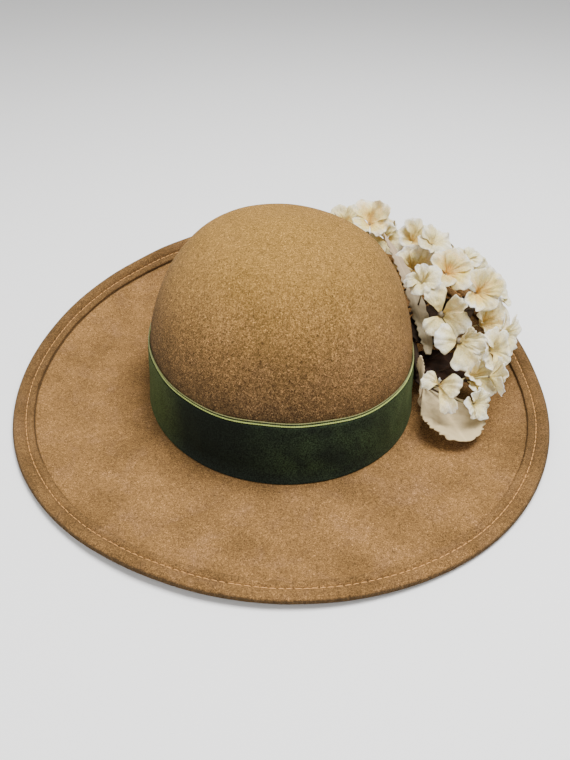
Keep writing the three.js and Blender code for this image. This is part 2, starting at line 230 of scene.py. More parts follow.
def velvet_material():
    """Short green pile, nearly black in front, with painted shade at the front left and painted sheen that
    turns it olive at the sides.
    """
    velvet = Material("green_velvet", Roughness=0.9, Sheen_Weight=0.22, Sheen_Roughness=0.35,
                      Sheen_Tint=linear(126, 140, 92), Specular_IOR_Level=0.12)
    crush = velvet.noise(24, 3, 0.5, 0.8)
    pile = velvet.noise(0.8, 3, 0.7)
    colour = velvet.mix(velvet.spread(crush, 0.35, 0.65), (22, 28, 20), (40, 52, 32))
    colour = velvet.mix(velvet.attribute("shaded"), colour, (15, 20, 15))
    low_edge = velvet.spread(velvet.attribute("level"), 0.0, 0.3, 0.45, 0.0)
    colour = velvet.mix(low_edge, colour, (38, 45, 41))
    # Painted sheen: olive where the band turns away towards its sides
    colour = velvet.mix(velvet.attribute("painted_sheen"), colour, (63, 74, 38))
    colour = velvet.scale(colour, velvet.spread(pile, 0.36, 0.64, 0.2, 2.0))
    height = velvet.math("ADD", crush, pile)
    return velvet.finish(colour, velvet.bump(height, 0.25, 0.5))


def cord_material(name, light, dark):
    """Smooth twisted thread of lighter and darker fibres."""
    cord = Material(name, Roughness=0.5, Sheen_Weight=0.2, Sheen_Roughness=0.4, Specular_IOR_Level=0.4)
    fibre = cord.noise(0.5, 2, 0.6)
    colour = cord.mix(cord.spread(fibre, 0.3, 0.7), light, dark)
    return cord.finish(colour, cord.bump(fibre, 0.08, 0.6))


def petal_material():
    """Thin veined cloth, orange or olive in the throat, cream in the middle and white at its edge, which
    painted backlight cools. Painted shade darkens its crinkles; a tan is painted shade on the front petals
    that lie in shadow and a random tone on the rest.
    """
    petal = Material("petal_cloth", Roughness=0.8, Sheen_Weight=0.1, Sheen_Roughness=0.5,
                     Specular_IOR_Level=0.2, Subsurface_Weight=0.25, Subsurface_Scale=0.002,
                     Subsurface_Radius=(1.0, 0.75, 0.4))
    along = petal.attribute("along")
    warmth = petal.attribute("warmth")
    cloth = petal.noise(6, 3, 0.6, 0.5)
    stain = petal.noise(13, 3, 0.6, 0.5)
    weave = petal.noise(0.4, 2, 0.6)
    ragged = petal.math("ADD", along, petal.spread(cloth, 0.3, 0.7, -0.16, 0.16))
    wavering = petal.spread(cloth, 0.0, 1.0, -2.0, 2.0)
    veins = petal.math("SINE", petal.math("MULTIPLY_ADD", petal.attribute("across"), 26.0, wavering))
    body = petal.mix(warmth, (240, 228, 180), (240, 208, 108))
    colour = petal.mix(petal.spread(ragged, 0.6, 1.08), body, (251, 249, 236))
    # Painted backlight: the very edge turns a cool lavender grey, as thin cloth does with light behind it
    colour = petal.mix(petal.spread(ragged, 0.92, 1.1, 0.0, 0.35), colour, (224, 220, 228))
    # A tan that is painted shade on the front florets' petals that lie in shadow, and a random tone on the
    # others; it fades towards the edge
    beige_and_painted_shade = petal.math("MULTIPLY", petal.attribute("beige_and_painted_shade"), petal.spread(ragged, 0.7, 1.1, 1.0, 0.25))
    colour = petal.mix(beige_and_painted_shade, colour, (202, 184, 132))
    peach = petal.math("MULTIPLY", warmth, petal.spread(stain, 0.5, 0.7, 0.0, 0.7))
    colour = petal.mix(peach, colour, (242, 198, 134))
    throat = petal.mix(warmth, (208, 190, 106), (230, 162, 58))
    colour = petal.mix(petal.spread(ragged, 0.04, 0.52, 0.95, 0.0), colour, throat)
    fading = petal.spread(along, 0.2, 1.0, 1.0, 0.3)
    vein_tint = petal.math("MULTIPLY", petal.spread(veins, 0.3, 1.0, 0.0, 0.18), fading)
    colour = petal.mix(vein_tint, colour, (222, 198, 136))
    crinkle = petal.noise(1.6, 3, 0.6, 1.5)
    # Painted shade: the cloth darkens in the hollows of its crinkles
    colour = petal.scale(colour, petal.spread(crinkle, 0.34, 0.54, 0.76, 1.0))
    creased_weave = petal.math("MULTIPLY_ADD", crinkle, 3.0, weave)
    height = petal.math("MULTIPLY_ADD", veins, 0.25, creased_weave)
    return petal.finish(colour, petal.bump(height, 0.26, 0.8))


def leaf_material(name, light, dark, tip):
    """Matt velvet with a paler midrib, tinted towards the leaf's tip."""
    leaf = Material(name, Roughness=0.9, Sheen_Weight=0.4, Sheen_Roughness=0.4,
                    Sheen_Tint=linear(*light), Specular_IOR_Level=0.15)
    patch = leaf.noise(9, 3, 0.6, 0.5)
    pile = leaf.noise(0.4, 2, 0.6)
    colour = leaf.mix(leaf.spread(patch, 0.35, 0.68), light, dark)
    colour = leaf.mix(leaf.spread(pile, 0.4, 0.7, 0.0, 0.35), colour, dark)
    colour = leaf.mix(leaf.spread(leaf.attribute("along"), 0.3, 1.0), colour, tip)
    colour = leaf.scale(colour, leaf.math("MULTIPLY_ADD", leaf.attribute("rib"), 0.18, 1.0))
    return leaf.finish(colour, leaf.bump(pile, 0.15, 0.5))


def wrap_material():
    """Dark paper tape wound round the wires, pale where a wire meets its flower."""
    wrap = Material("stem_wrap", Roughness=0.85, Specular_IOR_Level=0.2)
    grain = wrap.noise(1.2, 3, 0.6, 1.0)
    colour = wrap.mix(wrap.spread(grain, 0.35, 0.7), (34, 24, 17), (58, 43, 30))
    colour = wrap.mix(wrap.spread(wrap.attribute("along"), 0.6, 0.9), colour, (198, 186, 134))
    return wrap.finish(colour, wrap.bump(grain, 0.3, 0.6))


def bead_material():
    """Small rough bead, greyish umber, with a painted highlight that pales its top."""
    bead = Material("bead_centre", Roughness=0.55, Specular_IOR_Level=0.4)
    grain = bead.noise(0.6, 3, 0.6)
    along = bead.attribute("along")
    colour = bead.mix(bead.spread(grain, 0.35, 0.7), (106, 94, 74), (62, 52, 40))
    # Painted highlight: the bead pales towards its top
    colour = bead.mix(bead.spread(along, 0.5, 1.0, 0.0, 0.55), colour, (156, 144, 118))
    return bead.finish(colour, bead.bump(grain, 0.2, 0.6))


def thread_material():
    """Pale peach sewing thread."""
    thread = Material("hem_thread", Roughness=0.55, Sheen_Weight=0.05, Sheen_Roughness=0.4,
                      Specular_IOR_Level=0.4)
    ply = thread.noise(0.35, 2, 0.5)
    colour = thread.mix(thread.spread(ply, 0.3, 0.7), (230, 172, 100), (200, 144, 80))
    return thread.finish(colour, thread.bump(ply, 0.06, 0.6))


# Meshes

def unit(vectors):
    """The same directions, each 1 long."""
    return vectors / np.linalg.norm(vectors, axis=-1, keepdims=True)


def whole_turn(count):
    """That many angles, spaced evenly round a turn."""
    return np.arange(count) * 2 * math.pi / count


def grid_quads(rows, columns, round_rows=False, round_columns=False, start=0):
    """Quads of a grid of points that are stored row after row."""
    row = np.arange(rows if round_rows else rows - 1)
    column = np.arange(columns if round_columns else columns - 1)
    row, column = [cells.ravel() for cells in np.meshgrid(row, column, indexing="ij")]
    next_row = (row + 1) % rows
    next_column = (column + 1) % columns
    corners = (row * columns + column, row * columns + next_column,
               next_row * columns + next_column, next_row * columns + column)
    return np.stack(corners, axis=1) + start


def tube_faces(rings, sides, start=0):
    """Quads of a tube whose rings of points are stored one after the other, and its two end caps."""
    faces = grid_quads(rings, sides, round_columns=True, start=start).tolist()
    last = start + (rings - 1) * sides
    faces.append([start + side for side in range(sides)][::-1])
    faces.append([last + side for side in range(sides)])
    return faces


def add_object(name, data):
    made = bpy.data.objects.new(name, data)
    bpy.context.scene.collection.objects.link(made)
    return made


def add_piece(name, points, faces, material, nodes=(), attributes=None):
    """A smooth mesh piece from points in millimetres, which replaces the nodes. It rides on the root body."""
    mesh = bpy.data.meshes.new(name)
    mesh.from_pydata((np.asarray(points) * MM).tolist(), [], [list(map(int, face)) for face in faces])
    mesh.shade_smooth()
    for key, values in (attributes or {}).items():
        layer = mesh.attributes.new(key, "FLOAT", "POINT")
        layer.data.foreach_set("value", np.asarray(values, dtype=np.float32))
    mesh.materials.append(material)
    piece = add_object(name, mesh)
    if nodes:
        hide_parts(*nodes)
    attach(piece, "root")
    return piece


def waver(points, length_mm, amount_mm, seed):
    """A smooth field of small offsets, so that nothing handmade is quite regular."""
    chance = np.random.default_rng(seed)
    waves = 7
    offsets = np.zeros_like(points)
    for _ in range(waves):
        heading = unit(chance.normal(size=3))
        pace = 2 * math.pi / (length_mm * chance.uniform(0.7, 1.5))
        push = unit(chance.normal(size=3))
        wave = np.sin(points @ heading * pace + chance.uniform(0, 2 * math.pi))
        offsets += wave[:, None] * push
    return offsets * amount_mm / math.sqrt(waves)


# From this height up the felt is as uneven as it gets
FREE_HEIGHT = 12


def smooth_step(share):
    share = np.clip(share, 0, 1)
    return share * share * (3 - 2 * share)


def round_hat(mean, waves, angle):
    """A height that varies round the hat: its mean, and waves given by turns, cosine and sine."""
    return mean + sum(
        cosine * np.cos(turns * angle) + sine * np.sin(turns * angle) for turns, cosine, sine in waves)


def hand_blocked(points):
    """Felt as it is blocked by hand: gently uneven, but flat where it rests."""
    points = np.asarray(points, dtype=float).reshape(-1, 3)
    moved = waver(points, length_mm=95, amount_mm=0.9, seed=3)
    moved += waver(points, length_mm=28, amount_mm=0.22, seed=4)
    off_table = np.clip(points[:, 2:3] / FREE_HEIGHT, 0, 1)
    return points + moved * off_table


# Felt

def beside_oval(half_width, half_length, angle, out, up):
    """Points at a distance outside an upright oval, square to its outline."""
    across = np.cos(angle) / half_width
    lengthways = np.sin(angle) / half_length
    size = np.hypot(across, lengthways)
    x = half_width * np.cos(angle) + out * across / size
    y = half_length * np.sin(angle) + out * lengthways / size
    return np.stack([x, y, up + np.zeros_like(x)], axis=-1)


def beside_head(angle, out, up):
    return beside_oval(HEAD_HALF_WIDTH, HEAD_HALF_LENGTH, angle, out, up)


def beside_band(angle, out, up):
    return beside_oval(band_half_width, band_half_length, angle, out, up)


def spot_beside_band(around, out, up):
    """One point, whose place round the band is in degrees."""
    return beside_band(np.array([math.radians(around)]), out, up)[0]


def wall_inset(up):
    """How far the crown's wall leans in at a height."""
    return WALL_TAPER * max(0.0, up - FELT) / (WALL_TOP - FELT)


def dome_fullness(elevation):
    """A smooth curve through the dome's fullness table, which starts and ends level."""
    last = len(DOME_FULLNESS) - 1

    def mirrored(index):
        return DOME_FULLNESS[last - abs(last - abs(index))]

    place = elevation / (math.pi / 2) * last
    cell = min(int(place), last - 1)
    share = place - cell
    before, start, end, after = (mirrored(cell + step) for step in (-1, 0, 1, 2))
    start_slope = (end - before) / 2
    end_slope = (after - start) / 2
    squared = 3 * (end - start) - 2 * start_slope - end_slope
    cubed = 2 * (start - end) + start_slope + end_slope
    return start + share * start_slope + share ** 2 * squared + share ** 3 * cubed


def dome_row(angle, elevation, inset):
    """Points round the dome, from 0 at its foot to a quarter turn at its top, on its outside or inset."""
    fullness = dome_fullness(elevation)
    across = fullness * math.cos(elevation)
    height = fullness * math.sin(elevation)
    shrink = FELT - WALL_TAPER - inset
    x = (HEAD_HALF_WIDTH + shrink) * across * np.cos(angle) + CROWN_LEAN_X * height ** 2
    y = (HEAD_HALF_LENGTH + shrink) * across * np.sin(angle) + CROWN_LEAN_Y * height ** 2
    z = WALL_TOP + (CROWN_TOP - WALL_TOP - inset) * height
    return np.stack([x, y, np.full_like(x, z)], axis=-1)


def brim_row(angle, along, above):
    """Points of the brim: along is measured on the felt from the band, above is square to its underside."""
    rise = round_hat(BRIM_RISE_MEAN, BRIM_RISE_WAVES, angle)
    span = BRIM_WIDTH - BRIM_FLAT
    share = max(0.0, along - BRIM_FLAT) / span
    slope = np.arctan(2 * rise * share / span)
    reach = along - (2 / 3) * rise ** 2 * share ** 3 / span
    return beside_band(angle, reach - above * np.sin(slope), rise * share ** 2 + above * np.cos(slope))


def hem_row(angle, inward, above):
    """Points of the hem. Those of its raw edge waver, as a cut edge does."""
    row = brim_row(angle, BRIM_WIDTH - inward, above)
    if inward < RAW_EDGE_INWARD:
        return row
    nearer = brim_row(angle, BRIM_WIDTH - inward - 1, above)
    wander = sum(depth * np.sin(turns * angle + phase) for turns, depth, phase in RAW_EDGE_WAVES)
    return row + (row - nearer) * wander[:, None]


def felt_rows(angle):
    """Rows from the crown's top down over the brim and back up inside, and where the brim and the hem's two
    ends lie among them."""
    wall_heights = [34, 25, 16, 8, FELT + 0.4]
    inner_heights = [10, 20, 30]
    hem_foot = BRIM_WIDTH - HEM_WIDTH
    rows = [dome_row(angle, elevation, 0) for elevation in np.linspace(math.pi / 2 - POLE_STEP, 0, 40)]
    rows += [beside_head(angle, FELT - wall_inset(up), up) for up in wall_heights]
    brim_start = len(rows)
    alongs = [0, *np.linspace(4, hem_foot - 1.1, 34), hem_foot - 0.4]
    rows += [brim_row(angle, along, FELT) for along in alongs]
    hem_start = len(rows)
    rows += [hem_row(angle, inward, above) for inward, above in HEM_SECTION]
    rows += [brim_row(angle, BRIM_WIDTH - inward, above) for inward, above in UNDER_STITCH_SECTION]
    hem_end = len(rows)
    rows += [brim_row(angle, along, 0) for along in np.linspace(hem_foot, BRIM_FLAT, 30)]
    rows += [beside_head(angle, out, up) for out, up in LIP_SECTION]
    rows += [beside_head(angle, -wall_inset(up), up) for up in inner_heights]
    rows += [dome_row(angle, elevation, FELT) for elevation in np.linspace(0, math.pi / 2 - POLE_STEP, 30)]
    return rows, brim_start, hem_start, hem_end


def felt_shades(points, around, row_of, brim_start, hem_start, hem_end):
    """How much painted shade darkens the felt at each point, how golden it is, and how rough its nap."""
    on_crown = row_of < brim_start
    on_hem = (row_of >= hem_start) & (row_of < hem_end)
    height = np.clip((points[:, 2] - WALL_TOP) / (CROWN_TOP - WALL_TOP), 0, 1)
    # Painted shade on the crown: darker low down, and most at the front left, where less light falls
    front_left = np.clip(0.55 - 0.008 * points[:, 0] - 0.004 * points[:, 1], 0, 1)
    crown_painted_shade = (1 - height) ** 1.15 * (0.42 + 0.58 * front_left)
    # Painted shadow on the brim: of the crown and band just beside the band, and of the spray far to the
    # right
    shadow_beside_band = 0.3 * (1 - np.clip((row_of - brim_start) / 14, 0, 1)) * ~on_hem
    spray_shadow_right = 0.3 * smooth_step((points[:, 0] - 90) / 70)
    painted_shade = np.where(on_crown, crown_painted_shade, shadow_beside_band + spray_shadow_right)
    # Painted shade on the hem, most at its back left, deeper round its rolled outer edge and underneath, and
    # a painted shadow line at the foot of its raw edge
    painted_shade += (0.2 + 0.3 * np.clip(np.cos(around - math.radians(150)), 0, 1)) * on_hem
    painted_shade = np.where((row_of >= hem_start + EDGE_ROW) & on_hem, np.maximum(painted_shade, 0.9), painted_shade)
    painted_shade = np.where(np.isin(row_of, (hem_start - 1, hem_start, hem_start + 1)), 0.8, painted_shade)
    golden = np.where(on_crown, 0.85 * height ** 1.5, 0.0)
    fluff = np.where(on_crown, 1.1 + 1.0 * painted_shade, 1.05)
    return {"painted_shade": painted_shade, "golden": golden, "fluff": fluff}


def felt_hat():
    """The whole felt, crown and brim in one, with the hem's raw edge and stitched groove."""
    angle = whole_turn(FELT_COLUMNS)
    rows, *bounds = felt_rows(angle)
    poles = [dome_row(np.zeros(1), math.pi / 2, inset) for inset in (0, FELT)]
    points = hand_blocked(np.concatenate(rows + poles))
    faces = grid_quads(len(rows), FELT_COLUMNS, round_columns=True).tolist()
    top, inside = len(points) - 2, len(points) - 1
    last = (len(rows) - 1) * FELT_COLUMNS
    for column in range(FELT_COLUMNS):
        following = (column + 1) % FELT_COLUMNS
        faces.append([top, following, column])
        faces.append([inside, last + column, last + following])
    row_of = np.append(np.repeat(np.arange(len(rows)), FELT_COLUMNS), [0, len(rows) - 1])
    around = np.append(np.tile(angle, len(rows)), [0, 0])
    return add_piece("felt_hat", points, faces, felt_material(), ["felt_crown", "felt_brim"],
                     felt_shades(points, around, row_of, *bounds))


def hem_stitches():
    """A running stitch all round the hem, in its groove above and below."""
    sides, rings = 6, 7
    along = BRIM_WIDTH - STITCH_INWARD
    fine = np.linspace(0, 2 * math.pi, 2001)
    line = brim_row(fine, along, GROOVE_HEIGHT)
    walked = np.concatenate([[0], np.cumsum(np.linalg.norm(np.diff(line, axis=0), axis=1))])
    count = round(walked[-1] / STITCH_PITCH)
    shares = np.linspace(-1, 1, rings)
    girth = THREAD_RADIUS * np.sqrt(np.clip(1 - shares ** 4, 0.08, 1))[:, None, None]
    turn = whole_turn(sides)[None, :, None]
    chance = np.random.default_rng(11)
    points, faces = [], []
    for above, rise in STITCH_RUNS:
        arch = above + rise * (1 - shares ** 2)
        for stitch in range(count):
            middle = (stitch + 0.5 + chance.uniform(-0.08, 0.08)) * walked[-1] / count
            half = STITCH_LENGTH / 2 * chance.uniform(0.88, 1.08)
            lean = chance.uniform(-0.25, 0.25)
            angle = np.interp(middle + shares * half, walked, fine)
            centre = np.concatenate([
                brim_row(angle[[ring]], along + lean * shares[ring], arch[ring]) for ring in range(rings)])
            outward = unit((brim_row(angle[:1], along + 1, above) - brim_row(angle[:1], along, above))[0])
            square = np.cross(unit(centre[-1] - centre[0]), outward)
            ring_points = centre[:, None, :] + girth * (np.cos(turn) * outward + np.sin(turn) * square)
            faces += tube_faces(rings, sides, start=len(points) * rings * sides)
            points.append(ring_points.reshape(-1, 3))
    return add_piece("hem_stitches", hand_blocked(np.concatenate(points)), faces, thread_material())


# Band and cords

def top_raise(angle):
    return round_hat(TOP_RAISE_MEAN, TOP_RAISE_WAVES, angle)


def velvet_ribbon():
    """The band, stretched round the foot of the crown. Its selvedge runs up behind the two cords."""
    columns = 480
    angle = whole_turn(columns)
    edge_round = 0.45
    outer = [(BAND_BOTTOM, -edge_round), (BAND_BOTTOM + 0.15, -0.15), (BAND_BOTTOM + edge_round, 0)]
    outer += [(up, 0) for up in np.linspace(BAND_BOTTOM + 1.5, BAND_TOP - 1.5, 18)]
    outer += [(BAND_TOP - edge_round, 0), (BAND_TOP - 0.15, -0.15), (BAND_TOP, -edge_round)]
    selvedge = [(BAND_TOP, -1.1), (BAND_TOP + 0.1, -VELVET), (SELVEDGE_TOP, -VELVET), (SELVEDGE_TOP, -1.4)]
    inner = [(up, -1.3) for up in np.linspace(BAND_TOP, BAND_BOTTOM, 8)]
    rows, levels = [], []
    for up, out in outer + selvedge + inner:
        level = (up - BAND_BOTTOM) / (BAND_TOP - BAND_BOTTOM)
        share = min(level, 1)
        drag = sum(
            depth * np.sin(turns * angle + slant * level + phase)
            for depth, turns, slant, phase in VELVET_RIPPLES)
        ripple = drag * math.sin(math.pi * share) * (out > -VELVET / 2)
        flare = FOOT_FLARE * (1 - share) ** 3
        out_here = out + ripple + flare - wall_inset(up)
        rows.append(beside_band(angle, out_here, up + top_raise(angle) * share))
        levels += [level] * columns
    levels = np.array(levels)
    side = np.tile(np.cos(angle), len(rows))
    # Painted sheen towards the band's left and right ends, and painted shade at the front left
    sheen_left = 0.75 * smooth_step((-side - 0.74) / 0.26)
    sheen_right = 0.45 * smooth_step((side - 0.3) / 0.7)
    shades = {
        "painted_sheen": (sheen_left + sheen_right) * (levels < 0.99),
        "shaded": np.tile(np.clip(np.cos(angle + math.radians(128)), 0, 1) ** 6, len(rows)),
        "level": np.clip(levels, 0, 1),
    }
    points = hand_blocked(np.concatenate(rows))
    faces = grid_quads(len(rows), columns, round_rows=True, round_columns=True)
    ribbon = add_piece("velvet_ribbon", points, faces, velvet_material(), ["velvet_band"], shades)
    return ribbon


def twisted_cord(name, height, strand, node, material):
    """Two strands laid round each other."""
    steps, sides = 10, 6
    count = CORD_TWISTS * steps
    angle = np.repeat(whole_turn(count), sides)
    middle = CORD_RADIUS - VELVET - wall_inset(height)
    reach = 0.75 * strand
    turn = whole_turn(sides)[None, :]
    points, faces = [], []
    for phase in (0, math.pi):
        twist = (np.arange(count) * 2 * math.pi / steps + phase)[:, None]
        out = middle + reach * np.cos(twist) + strand * np.cos(turn)
        up = height + reach * np.sin(twist) + strand * np.sin(turn)
        start = len(points) * count * sides
        faces.append(grid_quads(count, sides, round_rows=True, round_columns=True, start=start))
        points.append(beside_band(angle, out.ravel(), up.ravel() + top_raise(angle)))
    points = hand_blocked(np.concatenate(points))
    return add_piece(name, points, np.concatenate(faces), material, [node])


# Spray

def stem_point(share):
    """The middle of the main stem, from 0 at its front end to 1 at its back end."""
    around = STEM_AROUND[0] + (STEM_AROUND[1] - STEM_AROUND[0]) * share
    up = STEM_UP[0] + (STEM_UP[1] - STEM_UP[0]) * float(smooth_step(share / STEM_CLIMB_END))
    return spot_beside_band(around, STEM_STANDOFF + STEM_RADIUS - wall_inset(up), up)


# A direction that no wire starts out in
OFF_PATH = (0.3, 0.2, 1.0)


def tube(path, radii, sides):
    """Points and faces of a round tube along a path."""
    path = np.asarray(path, dtype=float)
    tangent = unit(np.gradient(path, axis=0))
    side = np.cross(tangent[0], OFF_PATH)
    rings = []
    turn = whole_turn(sides)
    for centre, ahead, radius in zip(path, tangent, radii):
        side = unit(side - ahead * (side @ ahead))
        square = np.cross(ahead, side)
        rings.append(centre + radius * (np.cos(turn)[:, None] * side + np.sin(turn)[:, None] * square))
    return np.concatenate(rings), tube_faces(len(path), sides)


class Floret:
    """Where a floret sits and which way it looks. around, out and up place it beside the band, face and
    lift are the way it looks, and spin turns it about that."""

    def __init__(self, number, around, out, up, face, lift, spin, size):
        self.number = number
        self.size = size
        heading, rise = math.radians(face), math.radians(lift)
        self.facing = np.array([
            math.cos(rise) * math.cos(heading), math.cos(rise) * math.sin(heading), math.sin(rise)])
        level = np.array([-math.sin(heading), math.cos(heading), 0.0])
        turn = math.radians(spin)
        self.across = level * math.cos(turn) + np.cross(self.facing, level) * math.sin(turn)
        self.along = np.cross(self.facing, self.across)
        self.middle = spot_beside_band(around, out, up)

    def placed(self, points):
        """Points of the floret's own frame, where they belong on the hat."""
        return self.middle + points @ np.stack([self.across, self.along, self.facing])


FLORET_COLUMNS = ("around", "out", "up", "face", "lift", "spin", "size")
FLORET_ROWS = [
    (-3, 18, 54, -95, 40, 20, 1.05),
    (-11, 27, 44, -85, 35, 5, 1.05),
    (-29, 16, 33, -110, 45, 0, 0.9),
    (-21, 32, 30, -45, 45, -15, 1.05),
    (1, 43, 64, -75, 40, 10, 1.05),
    (5, 9, 69, -130, 60, 45, 0.85),
    (24, 23, 60, -95, 25, 0, 1.0),
    (17, 57, 56, -60, 30, 20, 1.0),
    (12, 33, 66, -90, 60, 0, 0.95),
    (30, 31, 74, -80, 50, 20, 0.95),
    (41, 29, 68, -95, 45, 45, 0.85),
    (45, 20, 80, -90, 60, 0, 0.9),
    (50, 46, 66, 0, 60, 30, 0.9),
    (58, 33, 70, -95, 60, 20, 0.85),
    (-1, 47, 42, -60, 30, 0, 1.0),
    (-7, 56, 44, -40, 20, 30, 0.85),
    (-16, 45, 45, -50, 20, 0, 0.9),
    (-24, 45, 38, -20, 0, 20, 0.75),
    (5, 60, 55, -20, 40, 0, 0.75),
    (14, 51, 71, -60, 70, 20, 0.6),
    (-29, 38, 24, -50, 30, 0, 0.65),
    (22, 34, 78, -60, 60, 0, 0.75),
    (28, 56, 56, 20, 35, 10, 1.0),
    (41, 56, 50, 35, 20, 30, 1.0),
    (58, 44, 50, 60, 20, 0, 1.0),
    (72, 22, 64, 80, 60, 20, 0.95),
    (74, 42, 38, 80, 10, 40, 0.95),
    (82, 26, 50, 100, 40, 10, 0.9),
    (13, 68, 34, 0, 35, 30, 0.8),
]
florets = [Floret(index + 1, **dict(zip(FLORET_COLUMNS, row))) for index, row in enumerate(FLORET_ROWS)]

# Petals that the photograph shows clearly, by floret. heading is round the floret in degrees, breadth is
# half the angle that the petal spans, lift is how steeply it rises, curl is how much more it turns by its
# tip, cup raises its sides, ruffle and pleat are the depths of its waves in millimetres.
PETAL_COLUMNS = ("heading", "length", "breadth", "lift", "curl", "cup", "ruffle", "pleat")
PETAL_ROWS = {
    1: [(90, 1.25, 29, 16, -20, -0.05, 0.9, 0.2), (10, 1.15, 36, 34, 15, 0.12, 0.9, 0.3),
        (-54, 1.2, 32, 14, -45, -0.06, 0.8, 0.2), (219, 1.0, 38, 12, -25, 0.0, 1.2, 0.3)],
    2: [(162, 1.15, 40, 20, -40, -0.12, 0.9, 0.2), (-82, 1.25, 43, 14, -12, 0.0, 1.0, 0.5),
        (-22, 1.08, 32, 26, -15, 0.02, 1.6, 0.5), (62, 1.05, 46, 56, -10, 0.1, 0.9, 0.3)],
    3: [(172, 1.2, 46, 55, -95, -0.05, 0.8, 0.3), (-62, 1.4, 18, 14, -35, 0.1, 0.3, 0.1),
        (-5, 1.15, 40, 36, -45, 0.0, 1.0, 0.2), (95, 0.8, 40, 62, 20, 0.1, 0.5, 0.2)],
    4: [(-10, 1.2, 52, 30, -25, 0.0, 0.8, 1.0), (-92, 1.15, 54, 28, -25, 0.0, 1.2, 1.0),
        (195, 0.95, 48, 40, -20, 0.05, 1.0, 0.6), (80, 1.0, 48, 55, -10, 0.08, 0.8, 0.6)],
    5: [(14, 1.18, 50, 30, -25, 0.0, 1.2, 0.5), (-62, 0.95, 50, 22, -20, 0.0, 1.2, 0.6),
        (204, 1.15, 32, 26, -10, 0.12, 0.8, 0.4), (92, 1.1, 50, 40, -30, 0.0, 1.3, 0.6)],
    6: [(155, 1.05, 46, 35, -70, -0.05, 0.8, 0.2), (232, 1.0, 48, 30, -60, 0.0, 0.8, 0.2),
        (-20, 1.15, 48, 30, -30, 0.0, 1.0, 0.3), (62, 1.0, 46, 45, -10, 0.1, 0.8, 0.3)],
    7: [(118, 1.15, 52, 18, -15, 0.0, 1.3, 0.7), (52, 1.15, 52, 22, -15, 0.0, 1.3, 0.7),
        (-20, 1.0, 46, 30, -40, 0.0, 1.0, 0.3), (205, 0.85, 42, 45, -30, 0.05, 0.8, 0.3)],
    8: [(10, 1.1, 52, 30, -20, 0.0, 1.2, 0.5), (85, 1.15, 54, 30, -25, 0.0, 1.4, 0.6),
        (170, 1.0, 48, 35, -30, 0.0, 1.0, 0.4), (-85, 1.0, 48, 30, -30, 0.0, 1.0, 0.4)],
    9: [(-35, 1.3, 54, 20, -30, 0.0, 1.3, 0.9), (38, 1.2, 52, 30, -20, 0.0, 1.2, 0.8),
        (128, 1.1, 50, 35, -25, 0.0, 1.0, 0.5), (225, 1.15, 52, 25, -30, 0.0, 1.2, 0.7)],
    10: [(80, 1.15, 48, 35, -10, 0.15, 0.9, 0.5), (150, 1.0, 46, 30, -30, 0.0, 1.0, 0.3),
         (-30, 1.1, 50, 25, -25, 0.0, 1.2, 0.4), (240, 0.95, 46, 25, -40, -0.05, 1.0, 0.2)],
    11: [(165, 1.1, 50, 20, -35, -0.05, 1.0, 0.2), (282, 1.15, 52, 20, -35, -0.03, 1.2, 0.3),
         (20, 1.0, 46, 40, -10, 0.1, 1.0, 0.4), (90, 1.0, 46, 45, -10, 0.1, 0.8, 0.4)],
    12: [(95, 1.25, 50, 12, -10, 0.03, 0.8, 0.3), (35, 1.25, 40, 20, 25, 0.15, 0.6, 0.2),
         (-45, 1.0, 48, 20, -30, 0.0, 1.0, 0.3), (200, 1.0, 46, 20, -30, 0.0, 1.0, 0.3)],
    15: [(18, 1.4, 52, 16, -15, 0.0, 1.2, 0.5), (-42, 1.2, 42, 28, -20, 0.0, 1.4, 0.5),
         (-110, 0.9, 44, 45, -20, 0.08, 1.0, 0.4), (118, 1.25, 34, 30, -10, 0.05, 0.8, 0.3)],
}

# A petal is this much steeper in the throat, in degrees, lies this far over the next one, as a share of its
# length, and is this much broader than its table says
THROAT_STEEPER = 34
OVERLAP = 0.07
FULLNESS = 1.14

# Scallops of a petal's edge, as a share of its length, and how closely they follow each other
SCALLOPS = [(0.035, 6), (0.022, 11), (0.01, 21)]
PETAL_THICKNESS = 0.3
CREASE_DEPTH = 0.23

# The two florets that face the front have large beads
FRONT_FLORETS = (1, 2)
FRONT_BEAD = 2.4
SMALL_BEAD = 1.0

# How yellow each floret is, where the photograph shows it
FLORET_WARMTH = {
    1: 0.3, 2: 0.25, 3: 0.45, 4: 0.5, 5: 0.95, 6: 0.15, 7: 0.6, 8: 0.25, 9: 0.95, 10: 0.5, 11: 0.3,
    12: 0.8, 14: 0.4, 15: 0.55, 16: 0.2, 17: 0.3, 18: 0.2, 19: 0.1, 20: 0.1, 21: 0.2, 22: 0.2,
}
DEFAULT_PETAL_TURNS = (0, 90, 180, 270)

# How much tan painted shade each petal of three florets in front has, where they lie in shadow
PAINTED_SHADE_PETALS = {1: (0.1, 0.9, 0.7, 0.15), 2: (0.0, 0.2, 0.2, 0.7), 3: (0.1, 0.1, 0.6, 0.7)}


def crumple(points, chance):
    """Soft random creases over a petal, in millimetres."""
    creases = np.zeros(points.shape[:-1])
    for _ in range(7):
        heading = chance.uniform(0, 2 * math.pi)
        pace = 2 * math.pi / chance.uniform(5, 12)
        walked = points[..., 0] * math.cos(heading) + points[..., 1] * math.sin(heading)
        creases += np.sin(walked * pace + chance.uniform(0, 2 * math.pi))
    return CREASE_DEPTH * creases


def thicken(piece, name, thickness):
    """Gives a sheet its thickness, half on each side."""
    thick = piece.modifiers.new(name, "SOLIDIFY")
    thick.thickness = thickness * MM
    thick.offset = 0


def quad_area(points, quads):
    """The area of flat quads, in square millimetres."""
    first, second, third, fourth = (points[quads[:, corner]] for corner in range(4))
    along, across = third - first, fourth - second
    return 0.5 * np.abs(along[:, 0] * across[:, 1] - along[:, 1] * across[:, 0]).sum()


